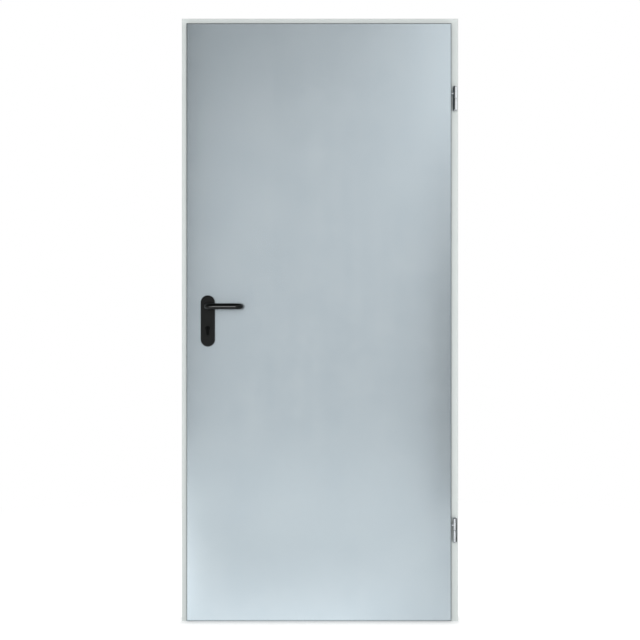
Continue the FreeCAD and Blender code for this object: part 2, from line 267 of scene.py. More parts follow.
zincLook = {
    "light": "#DDE0E3", "dark": "#C3C8CC", "roughness": 0.11, "clearer": 0.06, "duller": 0.10,
    "cloud": 9 * mm, "cloudDetail": 4.0, "drawn": 0.9 * mm, "drawnDetail": 2.0,
    "drawnStretch": 0.05, "filmFrom": 0.1, "filmTo": 0.45,
}


def zincPlate():
    # Bright zinc-plated steel: clear reflections, with faint drawing lines and cloudy passivation.
    material, tree, output, place = newMaterial("zinc-plated steel")
    cloud = addNode(tree, "ShaderNodeTexNoise", {
        "Vector": place, "Scale": 1 / zincLook["cloud"], "Detail": zincLook["cloudDetail"]})
    stretched = addNode(tree, "ShaderNodeMapping", {
        "Vector": place, "Scale": (1.0, 1.0, zincLook["drawnStretch"])})
    lines = addNode(tree, "ShaderNodeTexNoise", {
        "Vector": stretched.outputs[0], "Scale": 1 / zincLook["drawn"],
        "Detail": zincLook["drawnDetail"]})
    colour = addNode(tree, "ShaderNodeMix", {
        0: cloud.outputs[0], 6: linearColour(zincLook["dark"]),
        7: linearColour(zincLook["light"])}, data_type="RGBA")
    film = addNode(tree, "ShaderNodeMath", {
        0: lines.outputs[0], 1: cloud.outputs[0]}, operation="MULTIPLY")
    gloss = addNode(tree, "ShaderNodeMapRange", {
        0: film.outputs[0], 1: zincLook["filmFrom"], 2: zincLook["filmTo"],
        3: zincLook["roughness"] - zincLook["clearer"],
        4: zincLook["roughness"] + zincLook["duller"]})
    shader = addNode(tree, "ShaderNodeBsdfPrincipled", {
        "Base Color": colour.outputs[2], "Metallic": 1.0, "Roughness": gloss.outputs[0]})
    tree.links.new(shader.outputs[0], output.inputs[0])
    return material


plasticLook = {
    "light": "#0B0D0D", "dark": "#070808", "ior": 1.53, "swing": 0.05,
    "grain": 0.9 * mm, "grainDetail": 3.0, "grainDepth": 0.04 * mm,
    "flow": 22 * mm, "flowDetail": 2.0,
    # roughness, strength of the grain and shine of each finish
    "eroded": (0.36, 0.5, 0.30), "polished_with_painted_highlight": (0.30, 0.12, 0.18), "matt": (0.55, 0.6, 0.10),
    # painted highlight: a band where the normal is nearly level, with the upright part of the
    # normal at its two rims and its fades along the grip, which weights a clear coat of this
    # roughness and IOR
    "bandLow": (-0.25, -0.13), "bandHigh": (0.09, 0.0),
    "neckFade": (16 * mm, 26 * mm), "tipFade": (16 * mm, 28 * mm),
    "coatRoughness": 0.08, "coatIor": 3.0,
}


def highlightBand(tree, place):
    # A painted highlight, a product of ramps: full where the normal is nearly level, on the
    # straight part of the grip.
    normal = addNode(tree, "ShaderNodeTexCoord").outputs["Normal"]
    upright = addNode(tree, "ShaderNodeSeparateXYZ", {0: normal}).outputs[2]
    along = addNode(tree, "ShaderNodeSeparateXYZ", {0: place}).outputs[0]
    low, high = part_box("lever_front")
    ramps = [
        (upright, plasticLook["bandLow"]),
        (upright, plasticLook["bandHigh"]),
        (along, [low.x + reach for reach in plasticLook["neckFade"]]),
        (along, [high.x - reach for reach in plasticLook["tipFade"]]),
    ]
    share = 1.0
    for value, (start, end) in ramps:
        ramp = addNode(tree, "ShaderNodeMapRange", {0: value, 1: start, 2: end})
        share = addNode(tree, "ShaderNodeMath", {
            0: ramp.outputs[0], 1: share}, operation="MULTIPLY").outputs[0]
    return share


def blackPolyamide(finish):
    # Glass-filled polyamide moulded black: spark-eroded grain on the plates. On the straight part
    # of the grip, a clear coat on a band along the front, where the normal points slightly down, is
    # a painted highlight.
    material, tree, output, place = newMaterial(f"black polyamide, {finish}")
    roughness, grainStrength, shine = plasticLook[finish]
    grain = addNode(tree, "ShaderNodeTexNoise", {
        "Vector": place, "Scale": 1 / plasticLook["grain"], "Detail": plasticLook["grainDetail"]})
    flow = addNode(tree, "ShaderNodeTexNoise", {
        "Vector": place, "Scale": 1 / plasticLook["flow"], "Detail": plasticLook["flowDetail"]})
    colour = addNode(tree, "ShaderNodeMix", {
        0: flow.outputs[0], 6: linearColour(plasticLook["dark"]),
        7: linearColour(plasticLook["light"])}, data_type="RGBA")
    gloss = addNode(tree, "ShaderNodeMapRange", {
        0: grain.outputs[0], 3: roughness - plasticLook["swing"],
        4: roughness + plasticLook["swing"]})
    bump = addNode(tree, "ShaderNodeBump", {
        "Height": grain.outputs[0], "Strength": grainStrength,
        "Distance": plasticLook["grainDepth"]})
    shader = addNode(tree, "ShaderNodeBsdfPrincipled", {
        "Base Color": colour.outputs[2], "Metallic": 0.0, "Roughness": gloss.outputs[0],
        "IOR": plasticLook["ior"], "Specular IOR Level": shine, "Normal": bump.outputs[0]})
    # the painted highlight: a clear coat weighted by the band
    if finish == "polished_with_painted_highlight":
        tree.links.new(highlightBand(tree, place), shader.inputs["Coat Weight"])
        shader.inputs["Coat Roughness"].default_value = plasticLook["coatRoughness"]
        shader.inputs["Coat IOR"].default_value = plasticLook["coatIor"]
    tree.links.new(shader.outputs[0], output.inputs[0])
    return material


rubberLook = {"light": "#2B2C2C", "dark": "#1D1E1E", "roughness": 0.68, "swing": 0.08,
              "bloom": 6 * mm, "bloomDetail": 3.0}


def sealRubber():
    # Extruded EPDM: dull black with a greyish bloom.
    material, tree, output, place = newMaterial("EPDM rubber")
    bloom = addNode(tree, "ShaderNodeTexNoise", {
        "Vector": place, "Scale": 1 / rubberLook["bloom"], "Detail": rubberLook["bloomDetail"]})
    colour = addNode(tree, "ShaderNodeMix", {
        0: bloom.outputs[0], 6: linearColour(rubberLook["dark"]),
        7: linearColour(rubberLook["light"])}, data_type="RGBA")
    gloss = addNode(tree, "ShaderNodeMapRange", {
        0: bloom.outputs[0], 3: rubberLook["roughness"] - rubberLook["swing"],
        4: rubberLook["roughness"] + rubberLook["swing"]})
    shader = addNode(tree, "ShaderNodeBsdfPrincipled", {
        "Base Color": colour.outputs[2], "Roughness": gloss.outputs[0]})
    tree.links.new(shader.outputs[0], output.inputs[0])
    return material


weldLook = {"light": "#A9AFB3", "dark": "#7F868A", "roughness": 0.45, "smoother": 0.10,
            "rougher": 0.15, "metal": 0.7, "speck": 1.6 * mm, "speckDetail": 4.0}


def weldMetal():
    # Weld bead brushed with zinc paint: grey, uneven and duller than the plate beside it.
    material, tree, output, place = newMaterial("zinc-painted weld")
    speck = addNode(tree, "ShaderNodeTexNoise", {
        "Vector": place, "Scale": 1 / weldLook["speck"], "Detail": weldLook["speckDetail"]})
    colour = addNode(tree, "ShaderNodeMix", {
        0: speck.outputs[0], 6: linearColour(weldLook["dark"]),
        7: linearColour(weldLook["light"])}, data_type="RGBA")
    gloss = addNode(tree, "ShaderNodeMapRange", {
        0: speck.outputs[0], 3: weldLook["roughness"] - weldLook["smoother"],
        4: weldLook["roughness"] + weldLook["rougher"]})
    shader = addNode(tree, "ShaderNodeBsdfPrincipled", {
        "Base Color": colour.outputs[2], "Metallic": weldLook["metal"],
        "Roughness": gloss.outputs[0]})
    tree.links.new(shader.outputs[0], output.inputs[0])
    return material


finishes = {
    "galvanised_sheet": galvanisedSheet(),
    "frame_coat": powderCoat(),
    "zinc_plated_steel": zincPlate(),
    "black_polyamide": blackPolyamide("eroded"),
    "seal_rubber": sealRubber(),
}
gripPlastic = blackPolyamide("polished_with_painted_highlight")
keyPlastic = blackPolyamide("matt")
weld = weldMetal()

# Every node takes the finish of its slot; the grips are polished, with a painted highlight, and the
# key insert is matt.
slotOf = {part["node"]: part["material_slot"] for part in frame["record"]["subparts"]}
ownFinish = {"lever_front": gripPlastic, "lever_rear": gripPlastic, "key_insert": keyPlastic}
for nodeName, node in frame["nodes"].items():
    node.data.materials.clear()
    node.data.materials.append(ownFinish.get(nodeName, finishes[slotOf[nodeName]]))
print("materials:", len(bpy.data.materials))


# Door seal, one length of bulb profile round three sides

sealShape = {"foot": 3.0 * mm, "footHeight": 1.3 * mm, "bulb": 2.7 * mm, "points": 25}


def doorSeal():
    # The half width is the larger of a flat foot and a round bulb above it, carried up one side,
    # across the head and down the other. At a corner the section leans along the bisector.
    sideLow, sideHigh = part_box("seal_hinge_side")
    farLow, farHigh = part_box("seal_lock_side")
    stop, crown = sideHigh.y, sideLow.y
    reach = stop - crown
    rise = reach * (1 - np.cos(np.linspace(0, math.pi, sealShape["points"]))) / 2
    middle = reach - sealShape["bulb"]
    bulb = np.sqrt(np.clip(sealShape["bulb"] ** 2 - (rise - middle) ** 2, 0, None))
    foot = np.where(rise < sealShape["footHeight"], sealShape["foot"], 0.0)
    half = np.maximum(bulb, foot)
    across = np.concatenate([half, -half[-2::-1]])
    depth = stop - np.concatenate([rise, rise[-2::-1]])
    rightX = (sideLow.x + sideHigh.x) / 2
    leftX = (farLow.x + farHigh.x) / 2
    topZ = sideHigh.z - (sideHigh.x - sideLow.x) / 2
    path = np.array([[rightX, 0], [rightX, topZ], [leftX, topZ], [leftX, 0]])
    lean = np.array([[1, 0], [1, 1], [-1, 1], [-1, 0]])
    x = path[:, :1] + lean[:, :1] * across
    z = path[:, 1:] + lean[:, 1:] * across
    grid = np.stack([x, np.broadcast_to(depth, x.shape), z], -1)
    count = len(across)
    last = (len(path) - 1) * count
    caps = [np.arange(count)[::-1], last + np.arange(count)]
    parts = [(grid, gridFaces(len(path), count, closeColumns=True), caps)]
    piece = newPiece("door_seal", parts, finishes["seal_rubber"], "frame")
    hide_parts("seal_hinge_side", "seal_lock_side", "seal_head")


doorSeal()
print("seal done")


# Hinge halves, turned and drawn smooth

hingeShape = {"turns": 72, "steps": 7, "chamfer": 3.0 * mm, "splitEdge": 0.5 * mm,
              "coneEdge": 0.9 * mm, "arm": 4.5 * mm, "armEdge": 0.3 * mm, "armOffset": 17 * mm}


def hingeAxis(place):
    # Where the pin stands and the height at which the halves meet.
    low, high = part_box(f"hinge_{place}_pin")
    return (low.x + high.x) / 2, (low.y + high.y) / 2, (low.z + high.z) / 2


def roundedProfile(corners, radii):
    # Each inner corner is replaced by a quadratic curve that starts and ends one radius from it.
    corners = np.array(corners, float)
    share = np.linspace(0, 1, hingeShape["steps"])[None, :, None]
    corner = corners[1:-1]
    back, ahead = corners[:-2] - corner, corners[2:] - corner
    size = np.array(radii)[:, None]
    first = (corner + size * back / np.linalg.norm(back, axis=1, keepdims=True))[:, None]
    second = (corner + size * ahead / np.linalg.norm(ahead, axis=1, keepdims=True))[:, None]
    curve = ((1 - share) ** 2 * first + 2 * share * (1 - share) * corner[:, None]
             + share ** 2 * second)
    return np.concatenate([corners[:1], curve.reshape(-1, 2), corners[-1:]])


def turnedPart(profile, start, axes):
    # The profile's radius goes round the axis while its height goes along it.
    turn = np.linspace(0, 2 * math.pi, hingeShape["turns"], endpoint=False)
    u, v, w = [np.array(axis, float) for axis in axes]
    ring = np.cos(turn)[:, None] * u + np.sin(turn)[:, None] * v
    radius, height = profile[:, 0, None, None], profile[:, 1, None, None]
    grid = np.array(start) + radius * ring[None] + height * w
    return grid, gridFaces(len(profile), hingeShape["turns"], closeColumns=True), []


def hingeHalf(place, half):
    # A barrel with a coned outer end, turned about the pin, and a round arm square to it.
    node = f"hinge_{place}_{half}_half"
    low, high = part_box(node)
    axisX, axisY, split = hingeAxis(place)
    length, radius = high.z - low.z, axisY - low.y
    onLeaf = half == "leaf"
    way = 1 if onLeaf else -1
    inner = low.z if onLeaf else high.z
    chamfer = hingeShape["chamfer"]
    corners = [(0, 0), (radius, 0), (radius, length - chamfer), (radius - chamfer, length),
               (0, length)]
    barrel = roundedProfile(
        corners, [hingeShape["splitEdge"], hingeShape["coneEdge"], hingeShape["coneEdge"]])
    upright = ((1, 0, 0), (0, 1, 0), (0, 0, way))
    # The leaf's arm runs to the lip, the frame's arm to its face.
    reach = axisX - low.x if onLeaf else high.y - axisY
    edge, arm = hingeShape["armEdge"], hingeShape["arm"]
    rod = roundedProfile([(0, 0), (arm, 0), (arm, reach), (0, reach)], [edge, edge])
    armAxes = ((0, 1, 0), (0, 0, 1), (-1, 0, 0)) if onLeaf else ((1, 0, 0), (0, 0, 1), (0, 1, 0))
    armZ = split + way * hingeShape["armOffset"]
    parts = [turnedPart(barrel, (axisX, axisY, inner), upright),
             turnedPart(rod, (axisX, axisY, armZ), armAxes)]
    piece = newPiece(f"hinge_{place}_{half}_turned", parts, finishes["zinc_plated_steel"],
                     half)
    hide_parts(node)


for place in ("upper", "lower"):
    hingeHalf(place, "leaf")
    hingeHalf(place, "frame")
print("hinge halves done")


# Welds

beadShape = {"radius": 1.1 * mm, "ripple": 0.14, "pitch": 1.9 * mm, "along": 72, "around": 14,
             "perRipple": 6, "leastAlong": 24, "humpPower": 6, "aside": (0.31, 0.67, 0.59)}


def ringBead(centre, axes, radius):
    # A rippled ring: the section circle swells and shrinks with a sine along the turn.
    turn = np.linspace(0, 2 * math.pi, beadShape["along"], endpoint=False)[:, None]
    section = np.linspace(0, 2 * math.pi, beadShape["around"], endpoint=False)[None, :]
    ripples = round(2 * math.pi * radius / beadShape["pitch"])
    swell = beadShape["radius"] * (1 + beadShape["ripple"] * np.sin(ripples * turn))
    out = radius + swell * np.cos(section)
    along = swell * np.sin(section)
    u, v, w = [np.array(axis, float) for axis in axes]
    grid = (np.array(centre) + (out * np.cos(turn))[..., None] * u
            + (out * np.sin(turn))[..., None] * v + along[..., None] * w)
    return grid, gridFaces(beadShape["along"], beadShape["around"], True, True), []


def straightBead(start, end, radius):
    # A rippled run with rounded ends: the radius follows a flat-topped hump times a sine.
    start, end = np.array(start, float), np.array(end, float)
    length = np.linalg.norm(end - start)
    way = (end - start) / length
    side = np.cross(way, beadShape["aside"])
    side /= np.linalg.norm(side)
    other = np.cross(way, side)
    ripples = length / beadShape["pitch"]
    along = max(beadShape["leastAlong"], round(ripples * beadShape["perRipple"]))
    share = (1 - np.cos(np.linspace(0, math.pi, along))) / 2
    hump = np.sqrt(np.clip(1 - np.abs(2 * share - 1) ** beadShape["humpPower"], 0, None))
    ripple = 1 + beadShape["ripple"] * np.sin(2 * math.pi * share * ripples)
    swell = radius * hump * ripple
    section = np.linspace(0, 2 * math.pi, beadShape["around"], endpoint=False)
    ring = np.cos(section)[:, None] * side + np.sin(section)[:, None] * other
    grid = start + (share * length)[:, None, None] * way + swell[:, None, None] * ring[None]
    return grid, gridFaces(along, beadShape["around"], closeColumns=True), []


def hingeWelds():
    # A ring where each arm meets the lip of the leaf or the face of the frame.
    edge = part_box("leaf_front_sheet")[1].x
    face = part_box("hinge_jamb")[0].y
    arm, armOffset = hingeShape["arm"], hingeShape["armOffset"]
    for place in ("upper", "lower"):
        axisX, axisY, split = hingeAxis(place)
        ring = ringBead((edge, axisY, split + armOffset), ((0, 1, 0), (0, 0, 1), (1, 0, 0)), arm)
        newPiece(f"hinge_{place}_leaf_weld", [ring], weld, "leaf")
        ring = ringBead((axisX, face, split - armOffset), ((1, 0, 0), (0, 0, 1), (0, -1, 0)), arm)
        newPiece(f"hinge_{place}_frame_weld", [ring], weld, "frame")


hiddenShape = {
    "bead": 1.0 * mm, "standOff": 0.4, "sheet": 1.5 * mm, "footFrom": 1.0 * mm, "footTo": 9.0 * mm,
    "tack": 26 * mm, "tackPlaces": (0.2, 0.8), "tackStandOff": 0.5,
    "mitreInset": 3.0 * mm, "mitreReach": 22 * mm, "boxInset": 2 * mm,
}


def anchorWelds():
    # A run at the upper and lower end of each anchor's foot.
    off = hiddenShape["bead"] * hiddenShape["standOff"]
    beads = []
    for side in ("hinge", "lock"):
        for level in ("low", "middle", "high"):
            low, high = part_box(f"anchor_{side}_side_{level}")
            x = low.x + off if side == "hinge" else high.x - off
            front, back = low.y + hiddenShape["footFrom"], low.y + hiddenShape["footTo"]
            beads += [straightBead((x, front, z), (x, back, z), hiddenShape["bead"])
                      for z in (low.z, high.z)]
    newPiece("anchor_welds", beads, weld, "frame")


def backingWelds():
    # Two tacks along each long edge of the plates behind the hinges.
    beads = []
    for place in ("upper", "lower"):
        low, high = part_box(f"hinge_{place}_backing")
        y = low.y + hiddenShape["bead"] * hiddenShape["tackStandOff"]
        for x in (low.x, high.x):
            for share in hiddenShape["tackPlaces"]:
                middle = low.z + share * (high.z - low.z)
                start, end = middle - hiddenShape["tack"] / 2, middle + hiddenShape["tack"] / 2
                beads.append(straightBead((x, y, start), (x, y, end), hiddenShape["bead"]))
    newPiece("backing_welds", beads, weld, "frame")


def mitreWelds():
    # At 45 degrees from the outer corner down to the rebate, on the back of the face.
    low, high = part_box("hinge_jamb")
    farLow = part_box("lock_jamb")[0]
    bead, inset, reach = [hiddenShape[key] for key in ("bead", "mitreInset", "mitreReach")]
    y = low.y + hiddenShape["sheet"] + bead * hiddenShape["standOff"]
    z = high.z - inset
    corners = [(high.x - inset, -1), (farLow.x + inset, 1)]
    beads = [straightBead((x, y, z), (x + way * reach, y, z - reach), bead) for x, way in corners]
    newPiece("mitre_welds", beads, weld, "frame")


def strikeBoxWelds():
    # A run at each end of the strike box.
    low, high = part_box("strike_box")
    x = high.x - hiddenShape["bead"] * hiddenShape["standOff"]
    front, back = low.y + hiddenShape["boxInset"], high.y - hiddenShape["boxInset"]
    beads = [straightBead((x, front, z), (x, back, z), hiddenShape["bead"])
             for z in (low.z, high.z)]
    newPiece("strike_box_welds", beads, weld, "frame")


hingeWelds()
anchorWelds()
backingWelds()
mitreWelds()
strikeBoxWelds()
print("welds done")


# Screws

screwShape = {
    "rings": 26, "turns": 72, "crown": 0.22, "recess": 0.30, "arm": 0.13, "armFade": 0.065,
    "reach": 0.62, "reachFade": 0.14, "flat": 0.97, "edge": 0.992, "rim": -0.02, "seat": -0.12,
    "forendRadius": 3.6 * mm, "forendInset": 11 * mm,
    "plateRadius": 3.4 * mm, "plateInsetLow": 12 * mm, "plateInsetHigh": 11 * mm,
}


def smoothRamp(value):
    # Cut to 0 and 1, with level ends: three squares less two cubes.
    value = np.clip(value, 0, 1)
    return value ** 2 * (3 - 2 * value)


def crossScrew(centre, axes, radius):
    # Lens head over a polar grid: the height is a shallow dome less a cross, which is deepest along
    # two lines through the middle and ends at part of the radius. The rim goes down to the seat.
    rings, turns = screwShape["rings"], screwShape["turns"]
    share = np.concatenate([np.linspace(0, screwShape["flat"], rings - 3),
                            [screwShape["edge"], 1.0, 1.0]])[:, None]
    turn = np.linspace(0, 2 * math.pi, turns, endpoint=False)[None, :]
    across, up = share * np.cos(turn), share * np.sin(turn)
    nearest = np.minimum(np.abs(across), np.abs(up))
    slot = smoothRamp((screwShape["arm"] - nearest) / screwShape["armFade"])
    ends = smoothRamp((screwShape["reach"] - share) / screwShape["reachFade"])
    height = screwShape["crown"] * (1 - share ** 2) - screwShape["recess"] * slot * ends
    height[-2:] = np.array([[screwShape["rim"]], [screwShape["seat"]]])
    u, v, w = [np.array(axis, float) for axis in axes]
    grid = np.array(centre) + radius * (
        across[..., None] * u + up[..., None] * v + height[..., None] * w)
    caps = [(rings - 1) * turns + np.arange(turns)]
    return grid, gridFaces(rings, turns, closeColumns=True), caps


def doorScrews():
    # Two in the forend, and two that clamp the plates together, driven from the rear.
    zinc = finishes["zinc_plated_steel"]
    low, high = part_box("lock_forend")
    middle, inset = (low.y + high.y) / 2, screwShape["forendInset"]
    edge = ((0, 1, 0), (0, 0, 1), (-1, 0, 0))
    heads = [crossScrew((low.x, middle, z), edge, screwShape["forendRadius"])
             for z in (low.z + inset, high.z - inset)]
    newPiece("forend_screws", heads, zinc, "leaf")
    low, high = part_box("plate_rear")
    middle = (low.x + high.x) / 2
    rear = ((1, 0, 0), (0, 0, 1), (0, 1, 0))
    heads = [crossScrew((middle, high.y, z), rear, screwShape["plateRadius"])
             for z in (low.z + screwShape["plateInsetLow"], high.z - screwShape["plateInsetHigh"])]
    newPiece("plate_screws", heads, zinc, "leaf")


doorScrews()
print("screws done")


# Studio

def stageMesh(name, grid, faces, material):
    mesh = bpy.data.meshes.new(name)
    mesh.from_pydata(grid.reshape(-1, 3).tolist(), [], faces.tolist())
    mesh.shade_smooth()
    mesh.materials.append(material)
    thing = bpy.data.objects.new(name, mesh)
    bpy.context.scene.collection.objects.link(thing)
    return thing


floorLook = {
    "reach": 14.0, "points": 9, "colour": "#E6E7E7", "sillDepth": 30 * mm,
    # to the camera: the lift far from the sill and at it, smaller at the sill as a painted shade
    # round the door, and where the fade to white lies
    "lift": 0.62, "sillLift": 0.38, "sillReach": 0.05, "whiteFrom": 0.7, "whiteTo": 2.6,
    # to mirrors: the glow at the sill, less of it under the door
    "mirror": 0.74, "mirrorReach": 1.5, "underLevel": 0.6, "underReach": 20 * mm,
    # to mirrors: a strip in front on the left, outside a slanting line
    "leftSlant": -0.24, "leftFrom": -0.37, "leftTo": -0.45, "leftGlow": 0.7,
    "leftDepth": -0.8, "leftFade": -3.2, "leftFull": -1.8,
    # to mirrors: shade on the near right, outside a wedge that opens forwards
    "wedge": 0.36, "sideFrom": 0.05, "sideTo": 1.0, "sideShade": 0.75,
    "sideFront": -1.65, "sideBack": -1.25,
    # to mirrors: behind the door the shade ends and an even glow takes over
    "rearFrom": 0.1, "rearTo": 0.8, "rearGlow": 0.42,
}


def sillDistance(tree, offset, halfWidth):
    # How far a place on the floor lies outside the door's footprint.
    apart = addNode(tree, "ShaderNodeVectorMath", {0: offset}, operation="ABSOLUTE")
    beyond = addNode(tree, "ShaderNodeVectorMath", {
        0: apart.outputs[0], 1: (halfWidth, floorLook["sillDepth"], 0)}, operation="SUBTRACT")
    outside = addNode(tree, "ShaderNodeVectorMath", {
        0: beyond.outputs[0], 1: (0, 0, 0)}, operation="MAXIMUM")
    length = addNode(tree, "ShaderNodeVectorMath", {0: outside.outputs[0]}, operation="LENGTH")
    return length.outputs["Value"]


def mirrorGlow(tree, right, back, fromSill):
    # The sill's glow fades with distance, though not below the even glow behind the door. The left
    # strip, a product of ramps, is added.
    sill = addNode(tree, "ShaderNodeMapRange", {
        0: fromSill, 2: floorLook["mirrorReach"], 3: floorLook["mirror"], 4: 0.0})
    under = addNode(tree, "ShaderNodeMapRange", {
        0: fromSill, 2: floorLook["underReach"], 3: floorLook["underLevel"]})
    sillGlow = addNode(tree, "ShaderNodeMath", {
        0: sill.outputs[0], 1: under.outputs[0]}, operation="MULTIPLY")
    rear = addNode(tree, "ShaderNodeMapRange", {
        0: back, 1: floorLook["rearFrom"], 2: floorLook["rearTo"], 4: floorLook["rearGlow"]})
    allRound = addNode(tree, "ShaderNodeMath", {
        0: sillGlow.outputs[0], 1: rear.outputs[0]}, operation="MAXIMUM")
    slant = addNode(tree, "ShaderNodeMath", {
        0: back, 1: floorLook["leftSlant"], 2: right}, operation="MULTIPLY_ADD")
    left = addNode(tree, "ShaderNodeMapRange", {
        0: slant.outputs[0], 1: floorLook["leftFrom"], 2: floorLook["leftTo"],
        4: floorLook["leftGlow"]})
    ahead = addNode(tree, "ShaderNodeMapRange", {0: back, 2: floorLook["leftDepth"]})
    within = addNode(tree, "ShaderNodeMapRange", {
        0: back, 1: floorLook["leftFade"], 2: floorLook["leftFull"]})
    strip = addNode(tree, "ShaderNodeMath", {
        0: ahead.outputs[0], 1: within.outputs[0]}, operation="MULTIPLY")
    glow = addNode(tree, "ShaderNodeMath", {
        0: left.outputs[0], 1: strip.outputs[0], 2: allRound.outputs[0]},
        operation="MULTIPLY_ADD")
    return glow.outputs[0]


def mirrorShade(tree, right, back):
    # The shade grows with the distance from the wedge, and ends in front and behind the door.
    wedge = addNode(tree, "ShaderNodeMath", {
        0: back, 1: floorLook["wedge"], 2: right}, operation="MULTIPLY_ADD")
    side = addNode(tree, "ShaderNodeMapRange", {
        0: wedge.outputs[0], 1: floorLook["sideFrom"], 2: floorLook["sideTo"],
        4: floorLook["sideShade"]})
    near = addNode(tree, "ShaderNodeMapRange", {
        0: back, 1: floorLook["sideFront"], 2: floorLook["sideBack"]})
    nearSide = addNode(tree, "ShaderNodeMath", {
        0: side.outputs[0], 1: near.outputs[0]}, operation="MULTIPLY")
    notRear = addNode(tree, "ShaderNodeMapRange", {
        0: back, 1: floorLook["rearTo"], 2: floorLook["rearFrom"]})
    shade = addNode(tree, "ShaderNodeMath", {
        0: nearSide.outputs[0], 1: notRear.outputs[0]}, operation="MULTIPLY")
    return shade.outputs[0]


def studioFloor():
    # Pale lino that keeps the shadow round the door. To the camera it is lifted towards white away
    # from the sill, less at the sill, which paints a darker band round the door over the real
    # shadow, and further out it fades to plain white like the background. Mirrors see a painted
    # glow, brightest in front of the sill and on the left, and a painted shade on the near right.
    material, tree, output, place = newMaterial("studio floor")
    material.cycles.emission_sampling = "NONE"  # found by rays, never picked as a lamp: less grain
    rays = addNode(tree, "ShaderNodeLightPath")
    seen, mirrored = rays.outputs["Is Camera Ray"], rays.outputs["Is Glossy Ray"]
    low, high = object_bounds()
    offset = addNode(tree, "ShaderNodeVectorMath", {
        0: place, 1: ((low.x + high.x) / 2, 0, 0)}, operation="SUBTRACT").outputs[0]
    axes = addNode(tree, "ShaderNodeSeparateXYZ", {0: offset})
    right, back = axes.outputs[0], axes.outputs[1]
    fromSill = sillDistance(tree, offset, (high.x - low.x) / 2)
    # smaller lift at the sill: a painted shade round the door
    raised = addNode(tree, "ShaderNodeMapRange", {
        0: fromSill, 2: floorLook["sillReach"], 3: floorLook["sillLift"], 4: floorLook["lift"]})
    mirrorPart = addNode(tree, "ShaderNodeMath", {
        0: mirrored, 1: mirrorGlow(tree, right, back, fromSill)}, operation="MULTIPLY")
    lift = addNode(tree, "ShaderNodeMath", {
        0: seen, 1: raised.outputs[0], 2: mirrorPart.outputs[0]}, operation="MULTIPLY_ADD")
    matt = addNode(tree, "ShaderNodeBsdfDiffuse", {"Color": linearColour(floorLook["colour"])})
    glow = addNode(tree, "ShaderNodeEmission", {"Strength": lift.outputs[0]})
    lino = addNode(tree, "ShaderNodeAddShader", {0: matt.outputs[0], 1: glow.outputs[0]})
    fade = addNode(tree, "ShaderNodeMapRange", {
        0: fromSill, 1: floorLook["whiteFrom"], 2: floorLook["whiteTo"]},
        interpolation_type="SMOOTHSTEP")
    whiteShare = addNode(tree, "ShaderNodeMath", {
        0: fade.outputs[0], 1: seen}, operation="MULTIPLY")
    white = addNode(tree, "ShaderNodeEmission", {"Strength": 1.0})
    ground = addNode(tree, "ShaderNodeMixShader", {
        0: whiteShare.outputs[0], 1: lino.outputs[0], 2: white.outputs[0]})
    darkShare = addNode(tree, "ShaderNodeMath", {
        0: mirrorShade(tree, right, back), 1: mirrored}, operation="MULTIPLY")
    dark = addNode(tree, "ShaderNodeEmission", {"Strength": 0.0})
    finished = addNode(tree, "ShaderNodeMixShader", {
        0: darkShare.outputs[0], 1: ground.outputs[0], 2: dark.outputs[0]})
    tree.links.new(finished.outputs[0], output.inputs[0])
    points = floorLook["points"]
    across = np.linspace(-floorLook["reach"], floorLook["reach"], points)
    x, y = np.meshgrid(across, across, indexing="ij")
    grid = np.stack([x, y, np.zeros_like(x)], -1)
    stageMesh("studio_floor", grid, gridFaces(points, points), material)


domeLook = {
    "radius": 7.0, "height": 1.0, "turn": 110, "steps": 56,
    "lowest": -8, "highest": 90, "rises": 30, "cloth": 0.70, "rest": 0.02,
    # glow with the middle and width, in degrees, of the soft step where it starts
    "lowLeft": (0.60, 4, 1.0), "left": (0.14, -31, 2.0), "front": (0.86, -16.5, 1.6),
    "firstFall": (0.58, 17, 3.0), "secondFall": (0.40, 30, 4.0),
    # glow with both steps over the turn and both over the rise
    "window": (0.72, (6.0, 2.5, 42, 5.0), (11, 3.5, 58, 6.0)),
    "sideBox": (1.2, (48, 3.0, 78, 3.0), (6, 1.2, 40, 5.0)),
}


def softStep(value, middle, width):
    # A logistic curve from 0 to 1.
    return 1 / (1 + np.exp(-(value - middle) / width))


def softBand(value, low, lowWidth, high, highWidth):
    # A step up times a step down.
    return softStep(value, low, lowWidth) * softStep(-value, -high, highWidth)


def domeGlow(turn, rise):
    # Dim above and on the upper left, pale on the lower left, bright on the upper right, with a box
    # far right.
    lowGlow, lowEnd, lowWidth = domeLook["lowLeft"]
    leftGlow, *leftStep = domeLook["left"]
    frontGlow, *frontStep = domeLook["front"]
    firstFall, *firstStep = domeLook["firstFall"]
    secondFall, *secondStep = domeLook["secondFall"]
    far = domeLook["rest"] + lowGlow * softStep(-rise, -lowEnd, lowWidth)
    cloth = (far + (leftGlow - far) * softStep(turn, *leftStep)
             + frontGlow * softStep(turn, *frontStep))
    fall = 1 - firstFall * softStep(rise, *firstStep) - secondFall * softStep(rise, *secondStep)
    glow = domeLook["cloth"] * cloth * fall
    for boxGlow, turns, rises in (domeLook["window"], domeLook["sideBox"]):
        glow = glow + boxGlow * softBand(turn, *turns) * softBand(rise, *rises)
    return glow


